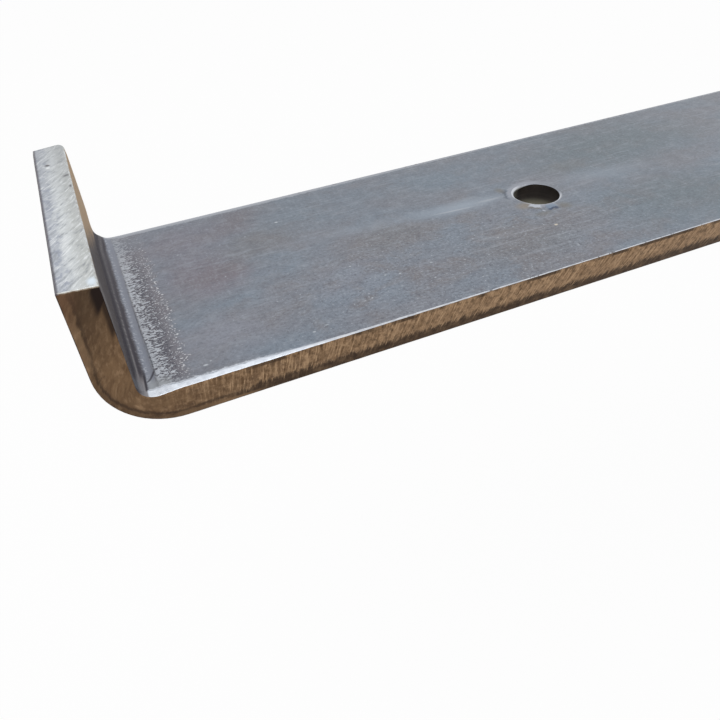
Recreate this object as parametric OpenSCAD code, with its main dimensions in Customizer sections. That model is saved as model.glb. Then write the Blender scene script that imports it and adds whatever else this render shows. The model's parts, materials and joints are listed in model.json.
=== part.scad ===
// Lipped shelf bracket, bent cold from one length of flat steel bar.
// The board lies on the arm, behind the lip. The leg hangs down the wall and is screwed to it.
//
// Frame: the wall is the plane Y = 0 and the room is on the -Y side, +Z is up, and X runs along the wall.
// The origin is the centre of the upper wall hole, on the wall face.

/* [Bar] */
// Width of the flat bar
bar_width = 40; // [25:1:60]
// Thickness of the flat bar
bar_thickness = 4; // [3:0.25:6]

/* [Lip] */
// Height of the lip above the face that the board lies on
lip_rise = 15.2; // [12:0.1:40]

/* [Arm] */
// Clear depth for the board, from the wall to the inner face of the lip
shelf_depth = 200; // [120:5:300]

/* [Leg] */
// Length of the leg, from the face that the board lies on to its lower end
leg_drop = 130; // [110:5:200]

/* [Bends] */
// Radius inside each bend
bend_inside_radius = 2; // [1:0.25:4]
// Share of its thickness that the stretched metal loses halfway round each bend
bend_thinning = 0.26; // [0.1:0.02:0.34]

/* [Holes] */
// Diameter of the hole that takes the screw into the board
board_hole_diameter = 7; // [4:0.5:10]
// Distance from the inner face of the lip to the centre of the board hole
board_hole_setback = 65.6; // [30:0.1:80]
// Diameter of the two holes that take the wall screws
wall_hole_diameter = 7; // [4:0.5:10]
// Distance from the face that the board lies on down to the centre of the upper wall hole
upper_hole_drop = 30; // [24:1:36]
// Distance from the centre of the lower wall hole down to the end of the leg
lower_hole_margin = 25; // [15:1:35]
// Width of the bevel that takes the burr off the rim of each hole
hole_bevel = 0.2; // [0.1:0.05:0.5]

/* [Edges] */
// Width of the bevel ground along the long edges and round the two sawn ends
edge_bevel = 0.4; // [0.1:0.1:0.8]

/* [Hidden] */

$fn = 96;

// The bend is thinnest halfway round. The lost thickness flattens its outside into a larger arc than one that
// runs parallel to the inside, given here to a hundredth of a millimetre.
stretched_radius = bend_inside_radius + bar_thickness * (1 + bend_thinning / (sqrt(2) - 1));
bend_outside_radius = round(100 * stretched_radius) / 100;

// Faces of the bar, seen along X: [Y, Z] with the face that the board lies on at Z = 0 and the wall at Y = 0
lip_inner = -shelf_depth;
lip_outer = lip_inner - bar_thickness;
arm_under = -bar_thickness;
leg_front = -bar_thickness;
leg_end = -leg_drop;
// Distance between the two wall holes
wall_hole_pitch = leg_drop - upper_hole_drop - lower_hole_margin;

// How far a cutter runs past the metal that it cuts
overshoot = 0.2;
// How far a cutter runs past a sawn end
end_overshoot = 1;

// Stands a shape that is drawn in X and Y, and extruded along Z, up in the bracket's frame: its X becomes Y,
// its Y becomes Z, and its Z becomes X
module side_on() {
    rotate([90, 0, 90]) children();
}

// What lies between a square corner at the origin and the arc that rounds it. An outside corner loses it, and
// an inside corner gains it. The corner opens towards +X and +Y.
module spandrel(radius) {
    difference() {
        translate([-overshoot, -overshoot]) square(radius + overshoot);
        translate([radius, radius]) circle(radius);
    }
}

// The corner of a sawn end at the origin that the bevel takes off, with the metal towards +X and +Y
module end_waste() {
    polygon([
        [-overshoot, -overshoot],
        [edge_bevel + overshoot, -overshoot],
        [-overshoot, edge_bevel + overshoot]
    ]);
}

// The bar seen from its side
module bent_bar() {
    difference() {
        union() {
            translate([lip_outer, arm_under]) square([bar_thickness, bar_thickness + lip_rise]);
            translate([lip_outer, arm_under]) square([bar_thickness + shelf_depth, bar_thickness]);
            translate([leg_front, leg_end]) square([bar_thickness, leg_drop]);
            translate([lip_inner, 0]) spandrel(bend_inside_radius);
            translate([leg_front, arm_under]) rotate(180) spandrel(bend_inside_radius);
        }
        translate([lip_outer, arm_under]) spandrel(bend_outside_radius);
        rotate(180) spandrel(bend_outside_radius);
        translate([lip_outer, lip_rise]) rotate(-90) end_waste();
        translate([lip_inner, lip_rise]) rotate(180) end_waste();
        translate([leg_front, leg_end]) end_waste();
        translate([0, leg_end]) rotate(90) end_waste();
    }
}

// Section of the bevel cut along an edge that lies at the origin, with the open sides towards +X and +Y
module bevel_section() {
    polygon([
        [overshoot, -edge_bevel - overshoot],
        [overshoot, overshoot],
        [-edge_bevel - overshoot, overshoot]
    ]);
}

// Bevels a straight edge of one side of the bar, with the metal on the left of the way from start to end
module straight_bevel(start, end) {
    way = end - start;
    translate([start.x, start.y, bar_width / 2])
        rotate([0, 0, atan2(way.y, way.x)])
            rotate([90, 0, 90])
                linear_extrude(norm(way))
                    mirror([1, 0])
                        bevel_section();
}

// Bevels a bent edge of one side of the bar, a quarter turn from the first angle. The open side of an inside
// edge faces the bend's centre.
module bent_bevel(centre, radius, first_angle, is_inside) {
    translate([centre.x, centre.y, bar_width / 2])
        rotate([0, 0, first_angle])
            rotate_extrude(angle = 90)
                translate([radius, 0])
                    mirror([is_inside ? 1 : 0, 0])
                        bevel_section();
}

// Every edge round one side of the bar, in turn: the lip's outer face, the underside, the leg's front, its end,
// the wall face, the top, the lip's inner face and its end
module side_bevels() {
    inside = bend_inside_radius;
    outside = bend_outside_radius;
    lip_past = lip_rise + end_overshoot;
    leg_past = leg_end - end_overshoot;

    straight_bevel([lip_outer, lip_past], [lip_outer, arm_under + outside]);
    bent_bevel([lip_outer + outside, arm_under + outside], outside, 180, false);
    straight_bevel([lip_outer + outside, arm_under], [leg_front - inside, arm_under]);
    bent_bevel([leg_front - inside, arm_under - inside], inside, 0, true);
    straight_bevel([leg_front, arm_under - inside], [leg_front, leg_past]);
    straight_bevel([leg_front - end_overshoot, leg_end], [end_overshoot, leg_end]);
    straight_bevel([0, leg_past], [0, -outside]);
    bent_bevel([-outside, -outside], outside, 0, false);
    straight_bevel([-outside, 0], [lip_inner + inside, 0]);
    bent_bevel([lip_inner + inside, inside], inside, 180, true);
    straight_bevel([lip_inner, inside], [lip_inner, lip_past]);
    straight_bevel([lip_inner + end_overshoot, lip_rise], [lip_outer - end_overshoot, lip_rise]);
}

// A drilled hole along +Z through a bar whose faces are at Z = 0 and Z = bar_thickness, with both rims bevelled
module drilled_hole(diameter) {
    radius = diameter / 2;
    rim = hole_bevel + overshoot;
    translate([0, 0, -overshoot]) cylinder(h = bar_thickness + 2 * overshoot, r = radius);
    translate([0, 0, -overshoot]) cylinder(h = rim, r1 = radius + rim, r2 = radius);
    translate([0, 0, bar_thickness - hole_bevel]) cylinder(h = rim, r1 = radius, r2 = radius + rim);
}

// The whole bracket, one piece of steel
module bracket() {
    color("slategray")
        difference() {
            translate([0, 0, upper_hole_drop])
                difference() {
                    side_on() linear_extrude(bar_width, center = true) bent_bar();
                    for (side = [0, 1]) mirror([side, 0, 0]) side_on() side_bevels();
                    translate([0, lip_inner + board_hole_setback, arm_under]) drilled_hole(board_hole_diameter);
                }
            for (drop = [0, wall_hole_pitch])
                translate([0, 0, -drop]) rotate([90, 0, 0]) drilled_hole(wall_hole_diameter);
        }
}

bracket();
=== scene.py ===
"""The looks of the lipped shelf bracket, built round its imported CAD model.

One length of flat bar is swept round both bends as a fine mesh, with its worn edges, folds, scale and holes.
Each kind of surface has its own node material. Lengths are in millimetres until a mesh, lamp or camera is
made.
"""

import json
import math

import bpy
import numpy as np
from mathutils import Matrix, Vector, noise


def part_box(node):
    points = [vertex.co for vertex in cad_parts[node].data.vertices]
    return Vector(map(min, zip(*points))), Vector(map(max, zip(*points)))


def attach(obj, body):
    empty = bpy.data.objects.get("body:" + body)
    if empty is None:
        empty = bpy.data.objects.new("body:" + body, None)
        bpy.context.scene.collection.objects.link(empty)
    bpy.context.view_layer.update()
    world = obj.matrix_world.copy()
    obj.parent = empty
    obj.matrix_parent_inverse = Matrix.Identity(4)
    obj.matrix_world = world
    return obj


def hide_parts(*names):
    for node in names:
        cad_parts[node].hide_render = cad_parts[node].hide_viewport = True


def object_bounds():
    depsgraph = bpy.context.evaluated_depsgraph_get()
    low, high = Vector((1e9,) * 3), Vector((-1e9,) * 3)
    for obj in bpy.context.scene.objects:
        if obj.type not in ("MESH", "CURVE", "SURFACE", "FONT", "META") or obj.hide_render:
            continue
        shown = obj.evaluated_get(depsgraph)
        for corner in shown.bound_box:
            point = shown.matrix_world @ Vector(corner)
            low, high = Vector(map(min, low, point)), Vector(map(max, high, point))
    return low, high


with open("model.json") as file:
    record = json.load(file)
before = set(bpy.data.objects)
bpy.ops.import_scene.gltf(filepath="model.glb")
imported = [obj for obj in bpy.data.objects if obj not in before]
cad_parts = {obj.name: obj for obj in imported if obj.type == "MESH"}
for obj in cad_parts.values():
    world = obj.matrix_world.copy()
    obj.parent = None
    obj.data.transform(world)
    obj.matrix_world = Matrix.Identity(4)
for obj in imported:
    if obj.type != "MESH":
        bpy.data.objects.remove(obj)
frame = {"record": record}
cad_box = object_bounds()

MM = 0.001

# ---------------------------------------------------------------- sizes, in millimetres, from the frame
mounts = {mount["name"]: mount for mount in frame["record"]["mounts"]}


def mount_place(name):
    """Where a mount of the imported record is."""
    return Vector(mounts[name]["pos_m"]) / MM


box_low, box_high = (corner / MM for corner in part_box("bracket"))

HALF_WIDTH = box_high.x
SEAT = mount_place("board_seat").z
LIP_INNER = mount_place("lip_face").y
THICKNESS = LIP_INNER - box_low.y
LIP_RISE = box_high.z - SEAT
LEG_DROP = SEAT - box_low.z
HOLE_RADIUS = mounts["board_hole"]["dims"]["r_mm"]

# Radii inside and outside each bend, as in the CAD model
BEND_INSIDE = 2.0
BEND_OUTSIDE = 8.51

# ---------------------------------------------------------------- sizes of the worn detail, in millimetres
END_ROUNDING = 0.16
RIM_BEVEL = 0.12
LEAST_ARRIS = 0.03
COLLAR_REACH = 6.0
# Inner part of each broad face, where the mesh columns stay straight
STRAIGHT_COLUMNS = 18.0

# Places along the bar where the mesh step changes: past the scale on the seat and on the back, past the bend,
# past the holed part of the arm, and far along it. The last one is a drop, past the bend at the wall.
SCALE_END = (7.0, 8.25)
PAST_BEND = 12.0
NEAR_END = 90.0
FAR_END = 180.0
PAST_WALL_BEND = 18.0

# Mesh steps along the bar and across it
FOLD_STEP = 0.2
SCALE_STEP = 0.25
LIP_STEP = 0.4
NEAR_STEP = 0.6
FAR_STEP = 1.3
LEG_STEP = 1.6
COLUMN_STEP = 0.5
SIDE_ROWS = 11
ARRIS_STEPS = 4
END_STEPS = 3
COLLAR_RINGS = 12
BEVEL_STEPS = 3
BORE_ROWS = 4

# How far the marked faces, sides and ends lie below the planes of the CAD model on average
FACE_DROP = 0.018
SIDE_DROP = 0.016
SAWN_DROP = 0.05

# How far the brush marks on the sawn ends lean: millimetres along the end for each one through the bar
END_SLANT = 1.3
# The grinding marks of the sides lean by the first slope at the first place, and by the second at the second
LEAN_PLACES = (3.0, 60.0)
LEAN_SLOPES = (0.1, 0.85)

# Faces of the mesh by kind, in the order of the bar's material slots
MILL, GROUND, SAWN, ARRIS, END_EDGE, RIM, BORE = range(7)


def spread(start, end, step):
    """Even values from start to end, no further apart than step."""
    return np.linspace(start, end, max(1, math.ceil(abs(end - start) / step)) + 1)


def smooth(value, low, high):
    """0 below low and 1 above high, with a soft change between them. It works the other way round too."""
    share = np.clip((value - low) / (high - low), 0, 1)
    return share * share * (3 - 2 * share)


def hump(value, middle, reach):
    """1 in the middle, falling away on both sides within about this reach."""
    return np.exp(-(((value - middle) / reach) ** 2))


def along(place, pairs):
    """The value at each place, in straight lines between pairs of a place and a value."""
    return np.interp(place, *zip(*pairs))


def perlin(x, y, z=0.0):
    """Soft noise between -1 and 1 at each point, with about one bump in each unit."""
    x, y, z = np.broadcast_arrays(x, y, z)
    values = [noise.noise(point) for point in zip(x.ravel(), y.ravel(), z.ravel())]
    return np.array(values).reshape(x.shape)


# ---------------------------------------------------------------- the line of each broad face
class FaceLine:
    """A broad face of the bar seen from its side: lip, arm and leg, joined by two rounded corners.

    A place on it is its distance along the face, and on the arm that is the distance from the lip's inner
    face.
    """

    def __init__(self, inset, first_radius, second_radius):
        self.left = LIP_INNER - THICKNESS + inset
        self.right = inset - THICKNESS
        self.level = inset - THICKNESS
        self.first_radius = first_radius
        self.second_radius = second_radius
        self.arm_start = self.left + first_radius - LIP_INNER
        self.arm_end = self.right - second_radius - LIP_INNER
        self.lip_foot = self.arm_start - first_radius * math.pi / 2
        self.leg_top = self.arm_end + second_radius * math.pi / 2
        self.lip_end = self.lip_foot - (LIP_RISE - self.level - first_radius)
        self.leg_end = self.at_drop(LEG_DROP)

    def at_drop(self, drop):
        """The place on the leg that is this far below the board's face."""
        return self.leg_top + drop + self.level - self.second_radius

    def point(self, place):
        """Y, and Z above the board's face, at each place."""
        first = (place - self.lip_foot) / self.first_radius
        second = (place - self.arm_end) / self.second_radius
        ends = (self.lip_foot, self.arm_start, self.arm_end, self.leg_top)
        conditions = [place < end for end in ends]
        y = np.select(
            conditions,
            [
                self.left + 0 * place,
                self.left + self.first_radius * (1 - np.cos(first)),
                place + LIP_INNER,
                self.right - self.second_radius * (1 - np.sin(second)),
            ],
            self.right,
        )
        z = np.select(
            conditions,
            [
                self.level + self.first_radius + self.lip_foot - place,
                self.level + self.first_radius * (1 - np.sin(first)),
                self.level + 0 * place,
                self.level - self.second_radius * (1 - np.cos(second)),
            ],
            self.level - self.second_radius + self.leg_top - place,
        )
        return np.stack([y, z], axis=-1)


seat_line = FaceLine(THICKNESS, BEND_INSIDE, BEND_OUTSIDE)
back_line = FaceLine(0.0, BEND_OUTSIDE, BEND_INSIDE)
# Places on the back face's own sheet count back from the wall bend, so that the inside of the bend is at the
# same place on both faces
BACK_TURN = back_line.arm_end + seat_line.arm_start

# ---------------------------------------------------------------- the holes
hole_reach = mount_place("board_hole").y - LIP_INNER
hole_drops = [SEAT - mount_place(name).z for name in ("upper_wall_hole", "lower_wall_hole")]


# ---------------------------------------------------------------- stations along the bar
def station_places():
    """The place of every section on the seat line and on the back line, and how far it is inset."""
    knots = [
        (seat_line.lip_end + END_ROUNDING, back_line.lip_end + END_ROUNDING, None),
        (seat_line.lip_foot, back_line.lip_foot, LIP_STEP),
        (seat_line.arm_start, back_line.arm_start, FOLD_STEP),
        (*SCALE_END, SCALE_STEP),
        (PAST_BEND, PAST_BEND, NEAR_STEP),
        (hole_reach - COLLAR_REACH, hole_reach - COLLAR_REACH, NEAR_STEP),
        (hole_reach + COLLAR_REACH, hole_reach + COLLAR_REACH, NEAR_STEP),
        (NEAR_END, NEAR_END, NEAR_STEP),
        (FAR_END, FAR_END, FAR_STEP),
        (seat_line.arm_end, back_line.arm_end, FAR_STEP),
        (seat_line.leg_top, back_line.leg_top, NEAR_STEP),
    ]
    drops = [PAST_WALL_BEND]
    for drop in hole_drops:
        drops += [drop - COLLAR_REACH, drop + COLLAR_REACH]
    for drop in drops + [LEG_DROP - END_ROUNDING]:
        step = NEAR_STEP if drop - COLLAR_REACH in hole_drops else LEG_STEP
        knots.append((seat_line.at_drop(drop), back_line.at_drop(drop), step))

    seat, back = [np.array([knots[0][0]])], [np.array([knots[0][1]])]
    for (seat_from, back_from, _), (seat_to, back_to, step) in zip(knots, knots[1:]):
        seat.append(spread(seat_from, seat_to, step)[1:])
        back.append(np.linspace(back_from, back_to, len(seat[-1]) + 1)[1:])
    seat, back = np.concatenate(seat), np.concatenate(back)

    # The sections at each end close in on a quarter circle
    turn = np.linspace(0, math.pi / 2, END_STEPS + 1)[:-1]
    gap = END_ROUNDING * (1 - np.cos(turn))
    closing = END_ROUNDING * (1 - np.sin(turn))
    seat = np.concatenate([seat_line.lip_end + gap, seat, (seat_line.leg_end - gap)[::-1]])
    back = np.concatenate([back_line.lip_end + gap, back, (back_line.leg_end - gap)[::-1]])
    inset = np.zeros(len(seat))
    inset[: len(turn)] = closing
    inset[-len(turn) :] = closing[::-1]
    return seat, back, inset


# ---------------------------------------------------------------- how the long edges are worn
# Widths and depths of the top edges, in pairs of a place and a size. The near edge is broadest beside the
# lip, and the far one at the lip's rounded corner.
NEAR_WIDTHS = (
    (-12, 0.2),
    (-2, 0.3),
    (0.4, 0.8),
    (1.2, 1.2),
    (2.8, 1.6),
    (4.6, 1.2),
    (12, 1.1),
    (16, 0.9),
    (19, 0.75),
    (26, 0.55),
    (36, 0.45),
    (60, 0.36),
)
FAR_WIDTHS = ((-14.4, 1.6), (-12.5, 0.7), (-9, 0.25), (-2, 0.2), (3, 0.5), (30, 0.5), (70, 0.35))
FAR_DEPTHS = ((-14.4, 0.95), (-12.5, 0.45), (-9, 0.12), (3, 0.06), (70, 0.05))


def near_top_arris(place):
    """Width of the edge that was linished broad beside the lip, and its depth."""
    ragged = 1 + 0.1 * perlin(place * 0.7, 3.1) + 0.1 * perlin(place * 2.2, 7.7)
    return along(place, NEAR_WIDTHS) * ragged, 0.07 + 0.02 * perlin(place * 1.1, 1.3)


def far_top_arris(place):
    """Width and depth of the top edge on the other side, with the lip's rounded corner."""
    width = along(place, FAR_WIDTHS) * (1 + 0.08 * perlin(place * 0.5, 13.1))
    depth = along(place, FAR_DEPTHS) * (1 + 0.08 * perlin(place * 0.6, 5.1))
    return width, depth


def back_arris(place, side):
    """Width and depth of an edge of the back."""
    width = 0.13 + 0.04 * perlin(place * 0.6, 20 + side)
    return width, 0.12 + 0.03 * perlin(place * 0.8, 30 + side)


# ---------------------------------------------------------------- relief, positive into the steel
def fold_line(across):
    """Where the deep crease inside the bend runs: straight, but for its slow wander."""
    wander = 0.06 * perlin(across * 0.35, 41.0) + 0.03 * perlin(across * 1.6, 43.0)
    return 0.85 + wander


def board_hole_burr(place, across, side):
    """The torn flaps beside the rim of the board hole, and the ring that the drill pressed in towards the
    lip."""
    past = place - hole_reach
    radius = np.hypot(past, across)
    angle = np.degrees(np.arctan2(across, past))
    torn = 0.5 + 0.5 * perlin(past * 2.3, across * 2.3, 3.0)
    outwards = smooth(radius, 3.6, 4.6) * smooth(radius, 5.7, 5.3)
    first = outwards * smooth(angle, 115, 120) * smooth(angle, 142, 137)
    second = outwards * smooth(angle, 86, 91) * smooth(angle, 109, 105)
    pressed = hump(radius, 4.85, 0.25) * smooth(angle, -134, -142) * smooth(angle, -180, -174)
    return side * (0.1 * pressed - (0.2 * first + 0.16 * second) * (0.6 + 0.6 * torn))


def face_relief(place, across, side):
    """How far a broad face lies below its plane. The side is 1 on the seat face and 0 on the back."""
    groove = 0.05 * hump(place, fold_line(across), 0.28)
    ridge = -0.02 * hump(place, 0.16, 0.16)
    # The metal that the bend pushed up at the far end of the fold and out of the lip above it
    swelling = -0.36 * hump(place, 0.9, 1.6) * smooth(across, -14.0, -19.5)
    on_lip = smooth(place, -1.5, -5.0) * smooth(place, -16.6, -12.5)
    swelling += -0.14 * side * smooth(across, -9.0, -18.5) * on_lip
    hairline = 0.02 * hump(place, 2.15, 0.12)
    scale_zone = smooth(place, 2.3, 2.8) * smooth(place, 6.4, 5.2)
    flakes = smooth(perlin(place * 1.5, across * 1.6, side * 9.0), -0.1, 0.15)
    scale = 0.02 * scale_zone * (1 - flakes)
    rolling = 0.012 * perlin(place * 0.05, across * 0.12, side * 5.0)
    rolling += 0.006 * perlin(place * 0.25, across * 0.9, side * 5.0)
    marks = groove + ridge + swelling + hairline + scale + rolling
    return marks + FACE_DROP + board_hole_burr(place, across, side)


def slant(place):
    """How far the grinding marks of a side lean: upright beside the lip, and more and more further along."""
    return np.interp(place, LEAN_PLACES, LEAN_SLOPES)


def edge_relief(place, depth, x):
    """How far a ground side lies inside its plane. The near one is rolled in a little below its top edge."""
    leaning = place + depth * slant(place)
    strength = 0.002 + 0.006 * smooth(place, 1, 10)
    marks = strength * perlin(leaning * 2.2, depth * 0.4, x) + 0.01 * perlin(place * 0.25, depth * 0.5, x)
    step = np.interp(place, [9, 13], [3.4, 2.85]) + 0.3 * perlin(leaning * 1.6, 2.0, x)
    unground = smooth(place, 8, 12) * smooth(depth, step - 0.12, step + 0.12)
    rolled_in = 0.24 * np.exp(-depth / 0.45) * smooth(place, 1.5, 5) if x > 0 else 0
    return SIDE_DROP + marks + 0.015 * unground + rolled_in


def end_relief(across, depth):
    """How far a sawn end lies below its plane, with the marks of the grinder running slantwise over it."""
    slanted = across - END_SLANT * depth
    marks = 0.02 * perlin(slanted * 1.1, depth * 0.3, 3.0)
    sag = 0.05 * perlin(across * 0.15, 4.0)
    return SAWN_DROP + marks + sag


def ground_over(points):
    """The lip's end falls away at its near inner corner and its far outer one, where it was ground over."""
    x, y, z = points.T
    near = smooth(x, HALF_WIDTH - 1.4, HALF_WIDTH + 0.3)
    inner = np.clip((y - LIP_INNER + THICKNESS) / THICKNESS, 0, 1)
    fade = smooth(SEAT + LIP_RISE - z, 3.0, 0.0)
    far = smooth(x, 3.0 - HALF_WIDTH, -HALF_WIDTH - 0.3)
    fall = (0.3 * near * inner + 0.3 * far * (1 - inner)) * fade
    return np.stack([x, y, z - fall], axis=-1)


# ---------------------------------------------------------------- the mesh
class Shell:
    """Vertices with their coordinates on the bar, and faces with their kind."""

    def __init__(self):
        self.points = []
        self.bar = []
        self.sheet = []
        self.rim = []
        self.faces = []
        self.kinds = []
        self.count = 0

    def add_points(self, points, bar, sheet, rim):
        """Adds an array of vertices, and gives back their numbers in the same shape."""
        shape = points.shape[:-1]
        self.points.append(points.reshape(-1, 3))
        self.bar.append(np.broadcast_to(bar, points.shape).reshape(-1, 3))
        self.sheet.append(np.broadcast_to(sheet, points.shape).reshape(-1, 3))
        self.rim.append(np.broadcast_to(rim, shape).ravel())
        numbers = np.arange(self.count, self.count + len(self.points[-1])).reshape(shape)
        self.count += numbers.size
        return numbers

    def add_grid(self, numbers, kinds, keep=None):
        """Adds the four-sided faces between neighbours of a grid of vertex numbers."""
        corners = [numbers[:-1, :-1], numbers[1:, :-1], numbers[1:, 1:], numbers[:-1, 1:]]
        quads = np.stack(corners, axis=-1)
        kinds = np.broadcast_to(kinds, quads.shape[:2])
        keep = np.ones(quads.shape[:2], bool) if keep is None else keep
        self.faces.append(quads[keep])
        self.kinds.append(kinds[keep])

    def mesh(self, name):
        """The finished mesh, in metres."""
        used, faces = np.unique(np.concatenate(self.faces), return_inverse=True)
        points = ground_over(np.concatenate(self.points)[used]) * MM
        mesh = bpy.data.meshes.new(name)
        mesh.from_pydata(points.tolist(), [], faces.reshape(-1, 4)[:, ::-1].tolist())
        mesh.polygons.foreach_set("material_index", np.concatenate(self.kinds).astype(np.int32))
        for title, values in (("bar", self.bar), ("sheet", self.sheet)):
            layer = mesh.attributes.new(title, "FLOAT_VECTOR", "POINT")
            layer.data.foreach_set("vector", np.concatenate(values)[used].astype(np.float32).ravel())
        layer = mesh.attributes.new("rim", "FLOAT", "POINT")
        layer.data.foreach_set("value", np.concatenate(self.rim)[used].astype(np.float32))
        mesh.shade_smooth()
        mesh.validate()
        return mesh


def column_template():
    """Places across a broad face. The outermost ones move with the width of the worn edge."""
    edge = spread(STRAIGHT_COLUMNS, HALF_WIDTH, COLUMN_STEP)[1:]
    middle = spread(-COLLAR_REACH, COLLAR_REACH, COLUMN_STEP)
    flank = spread(COLLAR_REACH, STRAIGHT_COLUMNS, COLUMN_STEP)[1:]
    half = np.concatenate([flank, edge])
    return np.concatenate([-half[::-1], middle, half])


def face_columns(columns, half, far_width, near_width):
    """Where the columns of each section lie, for worn edges of these widths."""
    shift = (np.abs(columns) - STRAIGHT_COLUMNS) / (HALF_WIDTH - STRAIGHT_COLUMNS)
    shift = np.clip(shift, 0, 1)[None, :]
    width = np.where(columns[None, :] > 0, near_width[:, None], far_width[:, None])
    reach = half[:, None] - width
    outer = np.sign(columns) * (STRAIGHT_COLUMNS + shift * (reach - STRAIGHT_COLUMNS))
    return np.where(shift > 0, outer, np.broadcast_to(columns, outer.shape))


def worn_corner(width, depth, face_drop, side_drop):
    """Points round a worn edge from the broad face to the side: how far in from the side, and how deep."""
    share = (np.arange(1, ARRIS_STEPS) / ARRIS_STEPS)[None, :]
    turn = share * math.pi / 2
    inward = width[:, None] * (1 - np.sin(turn)) + side_drop[:, None] * share
    deep = depth[:, None] * (1 - np.cos(turn)) + face_drop[:, None] * (1 - share)
    return inward, deep


def face_kinds(parts):
    """The kind of each face round a section, which has its points in eight parts."""
    kinds = []
    for kind, part in zip([MILL, ARRIS, GROUND, ARRIS] * 2, parts):
        kinds += [kind] * (part.shape[1] + (1 if kind == ARRIS else -1))
    return np.array(kinds)


def swept_sections():
    """Every section of the bar, as points that go once round it, with the kind of each face between them."""
    seat, back, inset = station_places()
    seat_points, back_points = seat_line.point(seat), back_line.point(back)
    through = back_points - seat_points
    length = np.linalg.norm(through, axis=1)
    direction = through / length[:, None]
    thick = length - 2 * inset
    half = HALF_WIDTH - inset

    columns = column_template()
    edges = [near_top_arris(seat), back_arris(back, 1), back_arris(back, -1), far_top_arris(seat)]
    edges = [[np.maximum(size - inset, LEAST_ARRIS) for size in edge] for edge in edges]
    (near_w, near_d), (low_near_w, low_near_d), (low_far_w, low_far_d), (far_w, far_d) = edges

    seat_x = face_columns(columns, half, far_w, near_w)
    back_x = face_columns(columns, half, low_far_w, low_near_w)
    seat_h = face_relief(seat[:, None], seat_x, 1.0)
    back_h = face_relief(BACK_TURN - back[:, None], -back_x, 0.0)

    rows = np.linspace(0, 1, SIDE_ROWS)[None, :]
    near_h = near_d[:, None] + rows * (thick - near_d - low_near_d)[:, None]
    far_h = far_d[:, None] + rows * (thick - far_d - low_far_d)[:, None]
    near_in = edge_relief(seat[:, None], near_h, HALF_WIDTH)
    far_in = edge_relief(seat[:, None], far_h, -HALF_WIDTH)

    near_top = worn_corner(near_w, near_d, seat_h[:, -1], near_in[:, 0])
    near_low = worn_corner(low_near_w, low_near_d, back_h[:, -1], near_in[:, -1])
    far_low = worn_corner(low_far_w, low_far_d, back_h[:, 0], far_in[:, -1])
    far_top = worn_corner(far_w, far_d, seat_h[:, 0], far_in[:, 0])
    wide, tall = half[:, None], thick[:, None]

    x = [
        seat_x,
        wide - near_top[0],
        wide - near_in,
        wide - near_low[0][:, ::-1],
        back_x[:, ::-1],
        far_low[0] - wide,
        far_in[:, ::-1] - wide,
        far_top[0][:, ::-1] - wide,
    ]
    h = [
        seat_h,
        near_top[1],
        near_h,
        tall - near_low[1][:, ::-1],
        tall - back_h[:, ::-1],
        tall - far_low[1],
        far_h[:, ::-1],
        far_top[1][:, ::-1],
    ]
    return {
        "x": np.concatenate(x, axis=1),
        "h": np.concatenate(h, axis=1),
        "kinds": face_kinds(x),
        "columns": columns,
        "seat": seat,
        "back": back,
        "length": length,
        "origin": seat_points + inset[:, None] * direction,
        "direction": direction,
        "thick": thick,
        "half": half,
        "widths": (near_w, far_w, low_near_w, low_far_w),
        "depths": (near_d, far_d, low_near_d, low_far_d),
    }


def edge_distance(sections):
    """How far each vertex of the sections is from the nearest worn edge, and below 0 on the edge itself."""
    x, h = sections["x"], sections["h"]
    near_w, far_w, low_near_w, low_far_w = (w[:, None] for w in sections["widths"])
    near_d, far_d, low_near_d, low_far_d = (d[:, None] for d in sections["depths"])
    half, thick = sections["half"][:, None], sections["thick"][:, None]
    on_seat = h < thick / 2
    width = np.where(x > 0, np.where(on_seat, near_w, low_near_w), np.where(on_seat, far_w, low_far_w))
    across = half - width - np.abs(x)
    top = np.where(x > 0, near_d, far_d)
    bottom = np.where(x > 0, low_near_d, low_far_d)
    down = np.minimum(h - top, thick - bottom - h)
    return np.where(down > 1e-6, np.maximum(across, down), across)


def place_points(origin, direction, x, h):
    """Points in the frame, from places across the bar and depths below the seat face."""
    y = origin[..., 0] + h * direction[..., 0]
    z = origin[..., 1] + h * direction[..., 1] + SEAT
    return np.stack([x + 0 * y, y, z], axis=-1)


def sheet_coordinates(seat, back, x, on_seat):
    """A face's own coordinates, which count from the inside of its bend on both sides of the bar."""
    place = np.where(on_seat, seat, BACK_TURN - back)
    return np.stack([place, np.where(on_seat, x, -x), np.where(on_seat, 0.0, THICKNESS)], axis=-1)


def add_sweep(shell, sections):
    """Adds the sections and the skin between them, with a square left open round each hole."""
    x, h = sections["x"], sections["h"]
    seat, back = sections["seat"][:, None], sections["back"][:, None]
    points = place_points(sections["origin"][:, None, :], sections["direction"][:, None, :], x, h)
    share = np.clip(h / sections["length"][:, None], 0, 1)
    bar = np.stack([seat + share * (back - seat), x, h], axis=-1)
    sheet = sheet_coordinates(seat + 0 * x, back + 0 * x, x, share < 0.5)
    numbers = shell.add_points(points, bar, sheet, edge_distance(sections))

    closed = np.concatenate([numbers, numbers[:, :1]], axis=1)
    keep = np.ones((len(x) - 1, x.shape[1]), bool)
    for rows, seat_columns, back_columns in open_squares(sections):
        keep[rows[0] : rows[1], seat_columns[0] : seat_columns[1]] = False
        keep[rows[0] : rows[1], back_columns[0] : back_columns[1]] = False
    kinds = np.tile(sections["kinds"], (len(x) - 1, 1))
    kinds[:END_STEPS] = kinds[-END_STEPS:] = END_EDGE
    shell.add_grid(closed, kinds, keep)
    return numbers


def hole_places():
    """The place of each hole on the seat line and on the back line."""
    places = [(hole_reach, hole_reach)]
    for drop in hole_drops:
        places.append((seat_line.at_drop(drop), back_line.at_drop(drop)))
    return places


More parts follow.
